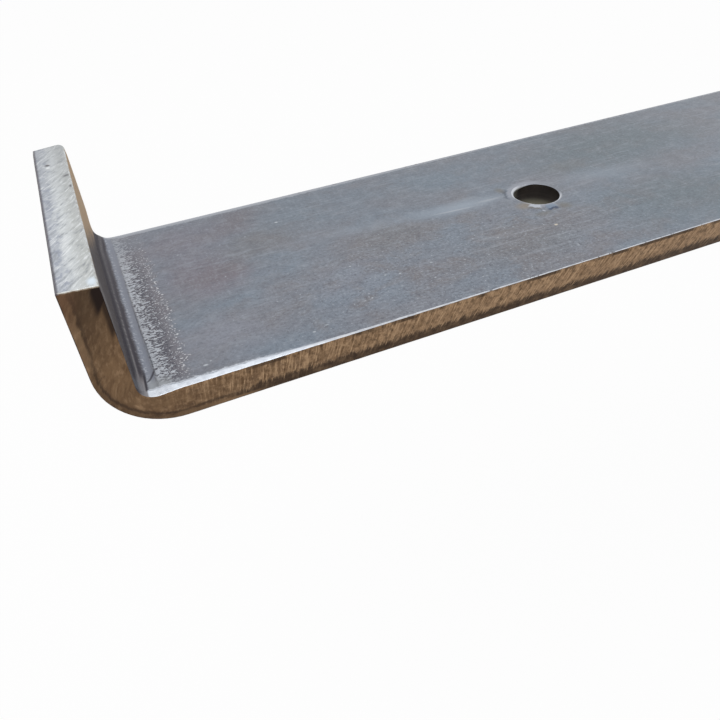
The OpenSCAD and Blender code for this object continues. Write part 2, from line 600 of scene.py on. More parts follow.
def open_squares(sections):
    """For each hole, the first and last section and column of its square, on the seat and on the back."""
    columns = sections["columns"]
    first = int(np.argmin(np.abs(columns + COLLAR_REACH)))
    last = int(np.argmin(np.abs(columns - COLLAR_REACH)))
    back_start = len(columns) + 2 * (ARRIS_STEPS - 1) + SIDE_ROWS
    mirrored = (back_start + len(columns) - 1 - last, back_start + len(columns) - 1 - first)
    squares = []
    for seat_place, _ in hole_places():
        top = int(np.argmin(np.abs(sections["seat"] - (seat_place - COLLAR_REACH))))
        bottom = int(np.argmin(np.abs(sections["seat"] - (seat_place + COLLAR_REACH))))
        squares.append(((top, bottom), (first, last), mirrored))
    return squares


def square_loop(block):
    """The vertex numbers round a block of a grid, once round and without a repeat."""
    return np.concatenate([block[0, :-1], block[:-1, -1], block[-1, :0:-1], block[:0:-1, 0]])


def add_holes(shell, sections, numbers):
    """Adds the collar round each hole on both faces, its deburred rims and its bore."""
    for place, (rows, seat_columns, back_columns) in zip(hole_places(), open_squares(sections)):
        seat_block = numbers[rows[0] : rows[1] + 1, seat_columns[0] : seat_columns[1] + 1]
        back_block = numbers[rows[0] : rows[1] + 1, back_columns[0] : back_columns[1] + 1][:, ::-1]
        row = (rows[0] + rows[1]) // 2
        seat_rim = add_collar(shell, square_loop(seat_block), place, sections["direction"][row], True)
        back_rim = add_collar(shell, square_loop(back_block), place, sections["direction"][row], False)
        add_bore(shell, seat_rim, back_rim)


def rim_bevel(angle, on_seat, place):
    """Width of the bevel on a rim. On the seat, the board hole's is broad towards the lip's far corner."""
    width = RIM_BEVEL * (1 + 0.2 * np.sin(3 * angle + place))
    if on_seat and place == hole_reach:
        width = 0.06 + 0.4 * smooth(np.cos(angle - math.radians(-140)), 0.2, 1.0)
        width = width + 0.2 * smooth(np.cos(angle - math.radians(85)), 0.0, 1.0)
    return width


def collar_rings(own, across, bevel):
    """The rings from a square round a hole to its rim and down its bevel. Each has its points along and
    across the bar, how deep they are, and how much of the face's relief they keep."""
    angle = np.arctan2(across, own)
    edge = HOLE_RADIUS + bevel
    rings = []
    for share in np.arange(1, COLLAR_RINGS + 1) / COLLAR_RINGS:
        a = (1 - share) * own + share * edge * np.cos(angle)
        b = (1 - share) * across + share * edge * np.sin(angle)
        rings.append((a, b, np.zeros_like(a), 1.0))
    for turn in np.arange(1, BEVEL_STEPS + 1) / BEVEL_STEPS * math.pi / 2:
        radius = HOLE_RADIUS + bevel * (1 - math.sin(turn))
        deep = bevel * (1 - math.cos(turn))
        rings.append((radius * np.cos(angle), radius * np.sin(angle), deep, math.cos(turn)))
    return (np.array([np.broadcast_to(ring[k], angle.shape) for ring in rings]) for k in range(4))


def add_collar(shell, loop, place, direction, on_seat):
    """Adds the rings between a square of vertices and the wall of a hole, and gives back the last."""
    line = seat_line if on_seat else back_line
    centre_place = place[0] if on_seat else place[1]
    centre = line.point(np.array(centre_place))
    forward = line.point(np.array(centre_place + 1.0)) - centre

    bar = np.concatenate(shell.bar)[loop]
    own, across = bar[:, 0] - centre_place, bar[:, 1]
    bevel = rim_bevel(np.arctan2(across, own), on_seat, centre_place)
    a, b, deep, flat = collar_rings(own, across, bevel)
    at = centre_place + a
    fold_place, fold_across = (at, b) if on_seat else (BACK_TURN - at, -b)
    relief = face_relief(fold_place, fold_across, 1.0 if on_seat else 0.0)
    inward = direction if on_seat else -direction
    sink = (deep + flat * relief)[..., None]
    plane = centre + a[..., None] * forward + sink * inward
    points = np.stack([b, plane[..., 0], plane[..., 1] + SEAT], axis=-1)
    depth = deep if on_seat else THICKNESS - deep
    new_bar = np.stack([at, b, depth], axis=-1)
    sheet = np.stack([fold_place, fold_across, np.full_like(a, 0.0 if on_seat else THICKNESS)], axis=-1)
    rim = np.hypot(a, b) - HOLE_RADIUS - bevel[None, :]
    numbers = shell.add_points(points, new_bar, sheet, rim)

    grid = np.concatenate([loop[None, :], numbers], axis=0)
    grid = np.concatenate([grid, grid[:, :1]], axis=1)
    kinds = np.array([MILL] * COLLAR_RINGS + [RIM] * BEVEL_STEPS)[:, None]
    shell.add_grid(grid if on_seat else grid[:, ::-1], kinds)
    return numbers[-1]


def add_bore(shell, seat_rim, back_rim):
    """Adds the wall of a hole between the last rings of its two rims."""
    points, bar, sheet = (np.concatenate(values) for values in (shell.points, shell.bar, shell.sheet))
    shares = (np.arange(1, BORE_ROWS) / BORE_ROWS)[:, None, None]

    def between(values):
        return (1 - shares) * values[seat_rim] + shares * values[back_rim]

    wall = shell.add_points(between(points), between(bar), between(sheet), 0.0)
    grid = np.concatenate([seat_rim[None, :], wall, back_rim[None, :]], axis=0)
    shell.add_grid(np.concatenate([grid, grid[:, :1]], axis=1), BORE)


def add_end(shell, sections, numbers, row, outward):
    """Closes an end of the bar with a grid that is stretched between the four sides of its last section."""
    half_turn = ARRIS_STEPS // 2
    columns = len(sections["columns"])
    loop = np.roll(numbers[row], half_turn)
    across_count = columns + 2 * half_turn
    down_count = SIDE_ROWS + 2 * half_turn
    closed = np.concatenate([loop, loop[:1]])
    top = closed[:across_count]
    near = closed[across_count - 1 : across_count + down_count - 1]
    low = closed[across_count + down_count - 2 : 2 * across_count + down_count - 2][::-1]
    far = closed[2 * across_count + down_count - 3 :][::-1]

    u = np.linspace(0, 1, across_count)[1:-1, None, None]
    v = np.linspace(0, 1, down_count)[None, 1:-1, None]

    def stretched(values):
        top_v, low_v = values[top][1:-1, None, :], values[low][1:-1, None, :]
        far_v, near_v = values[far][None, 1:-1, :], values[near][None, 1:-1, :]
        first, second = values[top[0]], values[top[-1]]
        third, fourth = values[low[0]], values[low[-1]]
        sides = (1 - v) * top_v + v * low_v + (1 - u) * far_v + u * near_v
        twist = (1 - u) * (1 - v) * first + u * (1 - v) * second + (1 - u) * v * third + u * v * fourth
        return sides - twist

    points, bar = np.concatenate(shell.points), np.concatenate(shell.bar)
    inner_points, inner_bar = stretched(points), stretched(bar)
    across, depth = inner_bar[..., 1], inner_bar[..., 2]
    distance = np.minimum(HALF_WIDTH - np.abs(across), np.minimum(depth, THICKNESS - depth)) - END_ROUNDING
    sink = end_relief(across, depth) * smooth(distance, 0.0, 0.4)
    inner_points = inner_points - sink[..., None] * np.array(outward)
    sheet = np.concatenate(shell.sheet)[top[0]]
    inner = shell.add_points(inner_points, inner_bar, sheet, distance)

    grid = np.empty((across_count, down_count), int)
    grid[:, 0], grid[:, -1] = top, low
    grid[0, :], grid[-1, :] = far, near
    grid[1:-1, 1:-1] = inner
    shell.add_grid(grid if outward[2] > 0 else grid[::-1], SAWN)


def bent_bar():
    """The whole bar, one closed mesh."""
    shell = Shell()
    sections = swept_sections()
    numbers = add_sweep(shell, sections)
    add_holes(shell, sections, numbers)
    add_end(shell, sections, numbers, 0, (0.0, 0.0, 1.0))
    add_end(shell, sections, numbers, -1, (0.0, 0.0, -1.0))
    bar = bpy.data.objects.new("bent_bar", shell.mesh("bent_bar"))
    bpy.context.scene.collection.objects.link(bar)
    return bar


# ---------------------------------------------------------------- materials
def srgb(red, green, blue):
    """A colour as it is seen on a screen, from 0 to 255, as the linear colour that a shader takes."""
    levels = [value / 255 for value in (red, green, blue)]
    linear = [v / 12.92 if v <= 0.04045 else ((v + 0.055) / 1.055) ** 2.4 for v in levels]
    return (*linear, 1.0)


# Where the low and the high parts of a noise lie, on a scale from 0 to 1
NOISE_LOW = 0.3
NOISE_HIGH = 0.7
# A radius so long that a patch has no end that way
ENDLESS = 1e6


class Amount:
    """What a node puts out: a number, vector or colour that varies over a surface. Sums with it add nodes."""

    def __init__(self, surface, socket):
        self.surface = surface
        self.socket = socket

    def __add__(self, other):
        return self.surface.math("ADD", self, other)

    def __sub__(self, other):
        return self.surface.math("SUBTRACT", self, other)

    def __mul__(self, other):
        return self.surface.math("MULTIPLY", self, other)

    def __abs__(self):
        return self.surface.math("ABSOLUTE", self)

    def step(self, low, high):
        """0 below low and 1 above high, with a soft change between them. It works the other way round too."""
        inputs = {"Value": self, "From Min": low, "From Max": high}
        return self.surface.add("MapRange", inputs, interpolation_type="SMOOTHSTEP")

    def level(self, low, high, to_low, to_high):
        """The number moved in a straight line from one range to another, and held at its ends."""
        inputs = {"Value": self, "From Min": low, "From Max": high, "To Min": to_low, "To Max": to_high}
        return self.surface.add("MapRange", inputs)

    def between(self, at_none, at_full):
        """A share from 0 to 1, moved in a straight line between two other numbers."""
        return self.level(0.0, 1.0, at_none, at_full)

    def drift(self, low, high):
        """A noise, spread between two other numbers."""
        return self.level(NOISE_LOW, NOISE_HIGH, low, high)

    def window(self, start, end, soft):
        """1 between start and end, and 0 outside them."""
        return self.step(start - soft, start + soft) * self.step(end + soft, end - soft)


class Finish:
    """A node material in the making, whose colour is painted in layers.

    Its coordinates are those that the mesh carries. The bar's are the place on the seat line, X, and the
    depth below the seat face. The sheet's are each broad face's own, and their depth is 0 on the seat and the
    thickness on the back.
    """

    def __init__(self, name, metallic, coordinates="bar"):
        self.material = bpy.data.materials.new(name)
        self.material.use_nodes = True
        self.tree = self.material.node_tree
        self.shader = self.tree.nodes["Principled BSDF"]
        self.feed(self.shader.inputs["Metallic"], metallic)
        self.colour = None
        self.vector = self.add("Attribute", {}, "Vector", attribute_name=coordinates)
        parts = self.tree.nodes.new("ShaderNodeSeparateXYZ")
        self.feed(parts.inputs[0], self.vector)
        self.place, self.across, self.depth = (Amount(self, output) for output in parts.outputs)

    def feed(self, socket, value):
        """Links an output to an input, or sets the input's own value."""
        if isinstance(value, Amount):
            self.tree.links.new(value.socket, socket)
        else:
            socket.default_value = value

    def add(self, kind, inputs, output=0, **settings):
        """Adds a node, feeds its inputs by name or number, and gives back one output."""
        node = self.tree.nodes.new("ShaderNode" + kind)
        for name, value in settings.items():
            setattr(node, name, value)
        for name, value in inputs.items():
            self.feed(node.inputs[name], value)
        return Amount(self, node.outputs[output])

    def carried(self, name):
        """A number that the mesh carries."""
        return self.add("Attribute", {}, "Fac", attribute_name=name)

    def math(self, operation, first, second=0.0):
        return self.add("Math", {0: first, 1: second}, operation=operation)

    def larger(self, first, second):
        return self.math("MAXIMUM", first, second)

    def vector_math(self, operation, first, second):
        return self.add("VectorMath", {0: first, 1: second}, operation=operation)

    def combined(self, x, y, z):
        return self.add("CombineXYZ", {0: x, 1: y, 2: z})

    def noise(self, scale, detail=2.0, rough=0.5, distortion=0.0, vector=None):
        """Noise around 0.5, with this many bumps to the millimetre each way."""
        scaled = self.vector_math("MULTIPLY", vector or self.vector, scale)
        inputs = {"Vector": scaled, "Scale": 1.0, "Detail": detail, "Roughness": rough}
        return self.add("TexNoise", {**inputs, "Distortion": distortion}, "Fac")

    def patch(self, centre, radii, turn=0.0, core=0.25, vector=None):
        """1 in the middle of an oval patch, fading to 0 at its rim."""
        inputs = {
            "Vector": vector or self.vector,
            "Location": (*centre, 0.0),
            "Rotation": (0.0, 0.0, math.radians(turn)),
            "Scale": (*radii, ENDLESS),
        }
        moved = self.add("Mapping", inputs, vector_type="TEXTURE")
        distance = self.add("VectorMath", {0: moved}, "Value", operation="LENGTH")
        return distance.step(1.0, core)

    def mix(self, share, first, second):
        """One colour laid over another."""
        return self.add("Mix", {0: share, 6: first, 7: second}, 2, data_type="RGBA")

    def paint(self, share, colour):
        """Lays a colour over what is painted so far."""
        self.colour = self.mix(share, self.colour, colour)

    def paint_spots(self, spots, core, vector=None):
        """Paints oval spots, each with its centre, radii, turn, colour and strength."""
        for centre, radii, turn, colour, strength in spots:
            self.paint(self.patch(centre, radii, turn, core, vector) * strength, colour)

    def finish(self, roughness, height, distance):
        """Feeds the shader, with bumps that are so many millimetres deep, and gives back the material."""
        bumps = self.add("Bump", {"Height": height, "Distance": distance * MM, "Strength": 1.0})
        for name, value in (("Base Color", self.colour), ("Roughness", roughness), ("Normal", bumps)):
            self.feed(self.shader.inputs[name], value)
        return self.material


# ---------------------------------------------------------------- the broad faces
STEEL_BLUE = srgb(123, 133, 145)
STEEL_GREY = srgb(127, 129, 137)
STEEL_PALE = srgb(158, 165, 174)
STEEL_DARK = srgb(88, 92, 102)
FAR_SHADE = srgb(108, 112, 120)
WHITE_METAL = srgb(236, 242, 251)
FAR_WORN = srgb(164, 168, 176)
FLAKE = srgb(175, 180, 188)
DENT_PALE = srgb(196, 202, 208)

REDDISH = srgb(120, 111, 116)
PURPLE = srgb(128, 123, 134)
BROWNISH = srgb(122, 120, 122)
BROWNED = srgb(124, 121, 124)
OLIVE = srgb(118, 122, 121)
COOL = srgb(118, 133, 146)
SLATE = srgb(104, 117, 124)
SILVERY = srgb(140, 143, 154)
PALE_BLUE = srgb(152, 162, 174)

# Tints that the rolling and bending left on the face, and two slate patches of painted shade round 85 mm
# along, in order: the middle in place and across, the radii each way, the turn in degrees, the colour, and
# how strong it is at most
TINTS_AND_SHADE = (
    ((12.0, -13.0), (14.0, 9.0), 0, PURPLE, 0.7),
    ((21.5, -15.5), (7.5, 6.0), 0, REDDISH, 0.85),
    ((12.5, -2.5), (10.0, 8.5), 20, PURPLE, 0.8),
    ((15.0, -2.5), (7.5, 5.5), 0, REDDISH, 0.7),
    ((23.0, -7.0), (9.0, 6.0), -20, BROWNISH, 0.75),
    ((10.0, 13.0), (9.0, 7.0), 0, SILVERY, 0.6),
    ((30.0, 10.0), (9.0, 9.0), 10, SILVERY, 0.35),
    ((29.0, -13.0), (12.0, 8.0), 0, COOL, 0.6),
    ((40.0, 0.8), (11.0, 5.6), 4, BROWNISH, 0.75),
    ((56.0, 11.5), (14.0, 7.5), 0, BROWNISH, 0.7),
    ((56.0, -13.0), (22.0, 9.0), 0, COOL, 0.7),
    # These two slate patches are painted shade: the arm darker round 85 mm along
    ((88.0, -10.0), (28.0, 14.0), 0, SLATE, 0.9),
    ((84.0, 11.0), (22.0, 12.0), 0, SLATE, 0.7),
    ((150.0, 6.0), (40.0, 12.0), 4, PURPLE, 0.4),
    ((135.0, -8.0), (30.0, 10.0), 0, COOL, 0.5),
    ((185.0, 0.0), (9.0, 16.0), 0, BROWNISH, 0.4),
    ((240.0, 4.0), (30.0, 13.0), 8, OLIVE, 0.5),
    ((290.0, -6.0), (26.0, 11.0), 0, PURPLE, 0.4),
    ((-24.0, 7.0), (14.0, 9.0), 0, BROWNISH, 0.6),
    ((-50.0, -6.0), (24.0, 10.0), 5, COOL, 0.6),
    ((-78.0, 5.0), (18.0, 12.0), 0, PURPLE, 0.5),
    ((-112.0, -4.0), (20.0, 14.0), 0, SLATE, 0.5),
)

# Streaks that drilling and handling rubbed along the arm, written as the stains are
RUBBED = (
    ((39.0, -3.4), (19.0, 2.2), 4, PALE_BLUE, 0.3),
    ((53.0, -2.2), (11.5, 2.8), 2, PALE_BLUE, 0.8),
    ((79.0, -1.0), (14.0, 3.6), 6, PALE_BLUE, 0.35),
    ((51.5, -1.5), (5.0, 0.32), 5, FLAKE, 0.7),
    ((58.0, -1.9), (3.6, 0.5), 3, FLAKE, 0.5),
    ((52.0, 8.2), (6.0, 0.5), 2, FLAKE, 0.25),
    ((57.5, 9.1), (5.0, 0.3), 3, FLAKE, 0.35),
    ((54.6, 6.3), (3.4, 0.22), 2, FLAKE, 0.35),
    ((51.0, 10.6), (7.0, 0.35), 0, FLAKE, 0.25),
    ((61.0, 12.2), (6.0, 0.4), 1, FLAKE, 0.25),
    ((56.0, 14.6), (8.0, 0.45), 0, FLAKE, 0.25),
    ((52.5, 12.4), (3.0, 0.2), 2, BROWNISH, 0.6),
    ((58.6, 10.8), (4.2, 0.3), 2, BROWNISH, 0.6),
    ((55.0, 7.6), (4.0, 0.3), 2, BROWNISH, 0.6),
    ((57.5, 4.4), (3.4, 0.3), 3, BROWNISH, 0.5),
)

# Small bright dents and flakes on the face: the middle, the radii and the strength
DENTS = (
    ((7.9, 17.2), (0.42, 0.22), 0.75),
    ((8.6, 16.7), (0.16, 0.14), 0.6),
    ((10.3, -9.5), (0.22, 0.16), 0.55),
    ((16.5, -9.3), (0.16, 0.14), 0.5),
    ((20.5, -9.8), (0.2, 0.14), 0.5),
    ((21.3, 17.2), (0.3, 0.2), 0.65),
    ((23.2, 16.6), (0.34, 0.12), 0.55),
    ((26.1, -11.8), (0.34, 0.3), 0.75),
    ((31.0, 5.6), (0.24, 0.16), 0.6),
    ((30.5, 14.0), (0.2, 0.16), 0.9),
    ((36.2, 10.5), (0.22, 0.16), 0.8),
    ((41.2, 10.0), (0.24, 0.16), 0.8),
    ((15.0, -0.4), (0.16, 0.12), 0.6),
    ((34.3, 9.9), (0.2, 0.15), 0.7),
    ((39.9, 13.6), (0.22, 0.16), 0.8),
    ((45.6, 11.6), (0.2, 0.14), 0.6),
    ((49.5, 7.2), (0.2, 0.14), 0.6),
    ((52.8, 8.7), (0.24, 0.14), 0.7),
    ((61.2, 15.9), (0.26, 0.18), 0.6),
    ((45.5, 16.4), (0.2, 0.14), 0.6),
)

# Where the grain is coarsest, along and across the arm, and how far that reaches
COARSE_MIDDLE = (46.0, 12.0)
COARSE_RADII = (40.0, 20.0)


def tinted_and_shaded_skin(surface):
    """The blue-grey of the rolled steel with its tints, whose outlines a slow noise bends, and a painted
    shade towards the far edge.
    """
    cloud = surface.noise((0.07, 0.13, 1.0), 3.0)
    surface.colour = surface.mix(cloud.step(0.34, 0.66), STEEL_GREY, STEEL_BLUE)
    scaled = surface.vector_math("MULTIPLY", surface.vector, (0.14, 0.2, 1.0))
    wander = surface.add("TexNoise", {"Vector": scaled, "Scale": 1.0, "Detail": 4.0}, "Color")
    centred = surface.vector_math("SUBTRACT", wander, (0.5, 0.5, 0.5))
    moved = surface.vector_math("MULTIPLY", centred, (9.0, 7.0, 0.0))
    surface.paint_spots(TINTS_AND_SHADE, 0.1, surface.vector_math("ADD", surface.vector, moved))
    # Painted shade: the face darker towards its far edge
    surface.paint(surface.across.level(4.0, -18.0, 0.0, 0.32), FAR_SHADE)


def grained(surface):
    """The grain of the mill skin, coarser round the arm's middle: brown clouds, mottles, faint brushing both
    ways and single bright grains. It gives back the finest noise, for the relief."""
    coarse = surface.patch(COARSE_MIDDLE, COARSE_RADII, 0.0, 0.3)
    browned = surface.noise((0.16, 0.2, 1.0), 4.0, 0.7, 0.4)
    surface.paint(browned.step(0.45, 0.7) * coarse.between(0.3, 0.9), BROWNED)
    strength = coarse.between(0.55, 1.0)
    grain = surface.noise((2.1, 2.5, 1.0), 4.0, 0.8)
    surface.paint(grain.step(0.5, 0.28) * strength, STEEL_DARK)
    surface.paint(grain.step(0.5, 0.74) * strength, STEEL_PALE)
    mottle = surface.noise((0.5, 0.65, 1.0), 3.0, 0.7)
    surface.paint(mottle.step(0.5, 0.3) * 0.26, STEEL_DARK)
    surface.paint(mottle.step(0.5, 0.7) * 0.24, STEEL_PALE)
    brushed = surface.noise((2.2, 0.2, 1.0), 3.0, 0.7)
    surface.paint(brushed.step(0.5, 0.75) * 0.15, STEEL_PALE)
    rolled = surface.noise((0.14, 1.9, 1.0), 3.0, 0.6)
    streaked = surface.noise((0.05, 0.09, 1.0), 2.0).window(0.5, 1.0, 0.06)
    surface.paint(rolled.step(0.5, 0.72) * streaked.between(0.08, 0.32), STEEL_PALE)
    flecks = surface.noise((2.6, 3.0, 1.0), 2.0, 0.5) - coarse.between(0.68, 0.645)
    surface.paint(flecks.step(0.0, 0.08) * coarse.between(0.45, 0.85), FLAKE)
    return grain


def rubbed_and_dented(surface):
    """Pale streaks along the arm and the small bright dents."""
    surface.paint_spots(RUBBED, 0.0)
    dents = [(centre, radii, 0, DENT_PALE, strength) for centre, radii, strength in DENTS]
    surface.paint_spots(dents, 0.3)


RIM_PALE = srgb(198, 202, 208)
HOLE_LILAC = srgb(158, 162, 172)
HOLE_MARK = srgb(82, 92, 106)
HOLE_OCHRE = srgb(140, 129, 112)
HOLE_BROWN = srgb(118, 114, 106)
HOLE_CREAM = srgb(214, 204, 186)
FLAP_PALE = srgb(188, 194, 205)
FLAP_BLUE = srgb(124, 140, 160)
FLAP_SHADE = srgb(72, 84, 106)

# What lies round the board hole: the radii from and to and how softly, the same for the angles in degrees
# from the arm's direction, the colour and the strength. The ring marks are towards the lip.
HOLE_RINGS = (
    ((3.4, 4.7, 0.5), (-176, -50, 30), HOLE_LILAC, 0.7),
    ((4.75, 5.15, 0.25), (-172, -134, 7), HOLE_MARK, 0.8),
)
HOLE_FLAPS_AND_SHADOWS = (
    ((3.3, 4.5, 0.2), (84, 138, 5), HOLE_LILAC, 0.7),
    # Painted shadow beyond the second flap
    ((5.1, 5.6, 0.15), (90, 107, 3), FLAP_SHADE, 0.85),
    # Painted shadow beyond the first flap
    ((5.0, 5.45, 0.15), (117, 138, 4), HOLE_BROWN, 0.7),
    ((3.9, 5.15, 0.15), (88, 108, 3), FLAP_BLUE, 0.8),
    ((3.3, 5.05, 0.15), (118, 140, 3), FLAP_PALE, 0.85),
)

# Stains near the hole and the chips beside its flaps, written as the stains of the face are
HOLE_STAINS = (
    ((61.4, -3.1), (0.6, 0.9), 0, HOLE_MARK, 0.6),
    ((61.2, -3.8), (1.1, 1.5), 0, HOLE_BROWN, 0.6),
    ((61.6, 2.5), (2.1, 1.6), 0, HOLE_OCHRE, 0.65),
    ((62.7, 5.9), (2.2, 1.0), 0, HOLE_BROWN, 0.5),
    ((67.0, 5.3), (1.6, 1.6), 0, HOLE_BROWN, 0.65),
    ((75.5, -6.2), (6.0, 3.0), 0, HOLE_BROWN, 0.2),
)
HOLE_CHIPS = (
    ((63.2, 5.25), (0.4, 0.2), 60, FLAP_PALE, 0.8),
    ((62.1, 9.65), (0.42, 0.26), 0, HOLE_CREAM, 0.9),
)


def hole_angle(surface):
    """The direction from the board hole's axis, in degrees from the arm's."""
    return surface.math("ARCTAN2", surface.across, surface.place - hole_reach) * math.degrees(1)


def around_board_hole(surface):
    """What the drill left beside the board hole: a ring mark towards the lip, burr flaps and warm stains,
    with painted shadows beyond the flaps and a painted highlight along the rim's near side.
    """
    past, across, angle = surface.place - hole_reach, surface.across, hole_angle(surface)
    distance = surface.math("SQRT", past * past + across * across)
    radius = distance + surface.noise((1.3, 1.3, 1.0), 3.0, 0.6).drift(-0.25, 0.25)
    for reach, turn, colour, strength in HOLE_RINGS:
        surface.paint(radius.window(*reach) * angle.window(*turn) * strength, colour)
    surface.paint_spots(HOLE_STAINS, 0.1)
    for reach, turn, colour, strength in HOLE_FLAPS_AND_SHADOWS:
        surface.paint(radius.window(*reach) * angle.window(*turn) * strength, colour)
    # Painted highlight along the rim's near side
    surface.paint(distance.window(3.3, 3.82, 0.14) * angle.window(25, 150, 12) * 0.8, RIM_PALE)
    surface.paint_spots(HOLE_CHIPS, 0.3)


SCALE_GAP = srgb(119, 115, 121)
SCALE_PIT = srgb(84, 84, 94)
SCALE_FLAKE = srgb(184, 189, 197)
SCALE_GRAIN = srgb(206, 208, 212)


def scale_band(surface):
    """The cracked mill scale beside the inside of each bend: dense pale flakes that break up into single
    grains. It gives back where the flakes are."""
    place, across = surface.place, surface.across
    reach = place + surface.noise((0.4, 0.9, 1.0), 3.0, 0.6).drift(-0.7, 0.7)
    fading = across.step(-20.0, -6.0) * across.step(19.5, 16.5)
    surface.paint(reach.window(2.1, 6.1, 0.8) * fading.between(0.2, 0.7), SCALE_GAP)

    above = surface.noise((1.7, 3.4, 1.0), 3.0, 0.65, 0.6) - reach.level(2.4, 5.6, 0.445, 0.66)
    pits = above.window(-0.13, -0.02, 0.03) * reach.window(2.4, 4.9, 0.4)
    surface.paint(pits * fading * 0.85, SCALE_PIT)
    flaked = above.step(-0.02, 0.03) * place.window(2.2, 6.2, 0.18) * fading.between(0.35, 0.95)
    surface.paint(flaked, SCALE_FLAKE)

    last_row = reach.window(5.5, 6.3, 0.3)
    grains = surface.noise((3.3, 4.0, 1.0), 1.0, 0.5) - last_row.between(0.64, 0.575)
    bright = grains.step(0.0, 0.05) * reach.window(2.9, 6.4, 0.3) * fading.between(0.15, 1.0)
    surface.paint(bright * 0.9, SCALE_GRAIN)
    return flaked


LIP_TAN = srgb(190, 160, 126)
LIP_PALE_TAN = srgb(204, 176, 141)
LIP_DULL = srgb(84, 77, 77)
LIP_SHEEN = srgb(132, 128, 128)


def lip_face(surface, on_seat):
    """The lip's inner face, dull near the bend and straw-coloured towards its end and its far corner, with a
    painted sheen towards its near top corner. It gives back where that face is."""
    place, across = surface.place, surface.across
    on_lip = place.step(0.6, -0.4) * on_seat
    specks = surface.noise((1.4, 1.4, 1.0), 3.0, 0.6)
    dull = surface.mix(specks.step(0.52, 0.7) * 0.6, LIP_DULL, STEEL_GREY)
    # A painted sheen: the lip face lighter towards its near top corner
    sheen = across.step(14.0, 18.0) * place.step(-6.0, -11.0)
    dull = surface.mix(sheen * 0.7, dull, LIP_SHEEN)
    streaks = surface.noise((0.25, 1.6, 1.0), 3.0, 0.6)
    straw = surface.mix(streaks.step(0.35, 0.7), LIP_TAN, LIP_PALE_TAN)
    uneven = surface.noise((0.3, 0.25, 1.0), 3.0).level(0.2, 0.8, -1.2, 1.2)
    above = across.level(-20.0, 12.0, -0.5, -15.4) - place + uneven
    surface.paint(on_lip, surface.mix(above.step(-2.2, 1.6), dull, straw))
    return on_lip


BAND_BLUE = srgb(137, 141, 153)
FOLD_DARK = srgb(70, 66, 72)
FOLD_SPECK = srgb(128, 124, 130)
FOLD_PURPLE = srgb(52, 48, 58)
FOLD_HIGHLIGHT = srgb(140, 136, 138)
FOLD_PLATE = srgb(158, 162, 166)
CRACK = srgb(48, 46, 54)


def fold_marks(surface):
    """The dark lines that lie along the inside of each bend, and a painted highlight along its crest with
    painted shade beside it.
    """
    place, across = surface.place, surface.across
    line = place + surface.noise((0.02, 0.22, 1.0), 1.0).drift(-0.06, 0.06)
    specks = surface.noise((2.6, 2.4, 1.0), 2.0, 0.6)
    surface.paint(line.window(1.0, 2.15, 0.12) * 0.75, BAND_BLUE)
    surface.paint(line.window(1.2, 1.6, 0.16) * specks.step(0.52, 0.62) * 0.7, FLAKE)
    frayed = line + specks.drift(-0.1, 0.1)
    speckled = surface.mix(specks.step(0.58, 0.7) * 0.6, FOLD_DARK, FOLD_SPECK)
    surface.paint(frayed.step(1.4, 0.84) * place.step(-1.6, -0.9), speckled)
    surface.paint(line.window(0.54, 0.84, 0.12) * across.step(18.0, 16.4) * 0.85, FOLD_PURPLE)
    near = across.step(-4.0, 12.0)
    # Painted shade beside the highlight, on the lip's side
    surface.paint(line.window(-0.45, -0.1, 0.14) * near.between(0.1, 0.75), FOLD_PURPLE)
    patchy = surface.noise((0.3, 1.4, 1.0), 2.0).step(0.4, 0.6)
    broken = surface.larger(patchy, across.step(8.0, 14.0))
    # A painted highlight along the crest of the fold, broken into dashes
    glint = line.window(0.16, 0.4, 0.12) * broken.between(0.2, 0.9)
    surface.paint(glint * across.level(-10.0, 6.0, 0.15, 1.0), FOLD_HIGHLIGHT)
    fold_corner(surface, line, broken)


def fold_corner(surface, line, broken):
    """Near the corner the painted highlight widens into a pale wedge, and the dark lines meet in a crack with
    a branch.
    """
    place, across = surface.place, surface.across
    # The painted highlight widens into a pale wedge near the corner
    surface.paint(across.step(15.4, 17.8) * line.window(-0.1, 0.95, 0.28) * 0.85, FOLD_HIGHLIGHT)
    surface.paint(across.step(16.8, 18.6) * line.window(-1.8, 0.8, 0.4) * 0.25, STEEL_PALE)
    plate = across.step(16.2, 18.0) * line.step(1.0, 1.3) * line.step(4.2, 3.2)
    surface.paint(plate * 0.7, FOLD_PLATE)
    off_crack = abs(place - across.level(15.0, 19.5, 1.12, 0.84))
    crack = off_crack.step(0.2, 0.05) * across.step(14.5, 16.5)
    turned = surface.math("POWER", across.level(15.4, 17.4, 1.0, 0.0), 0.6)
    off_branch = abs(place - turned.between(0.98, 2.25))
    branch = off_branch.step(0.22, 0.04) * across.window(15.4, 17.4, 0.25)
    surface.paint(surface.larger(crack, branch * 0.85) * 0.9, CRACK)
    off_hair = abs(line - across.level(-2.0, 12.0, 2.05, 2.3))
    hair = off_hair.step(0.12, 0.02) * across.window(1.0, 15.8, 1.5)
    surface.paint(hair * broken.between(0.25, 0.65), STEEL_DARK)


def worn_rims(surface, on_seat):
    """The face's pale rims: broad and white beside the lip's near corner, and thin along the far edge."""
    place, across, rim = surface.place, surface.across, surface.carried("rim")
    worn = surface.noise((1.6, 1.6, 1.0), 3.0, 0.7)
    fade = (rim - worn.drift(-0.05, 0.3)).step(0.18, -0.15)
    broad = place.step(0.8, 1.1) * place.step(24.0, 9.0) * across.step(15.0, 18.0)
    surface.paint(fade * broad * 0.6, WHITE_METAL)
    inside = place.level(25.0, 75.0, 0.42, 0.12) - (rim - worn.drift(-0.12, 0.22))
    far_edge = inside.step(-0.12, 0.12) * across.step(-16.0, -19.0) * place.step(0.8, 1.4)
    surface.paint(far_edge * on_seat * 0.8, FAR_WORN)


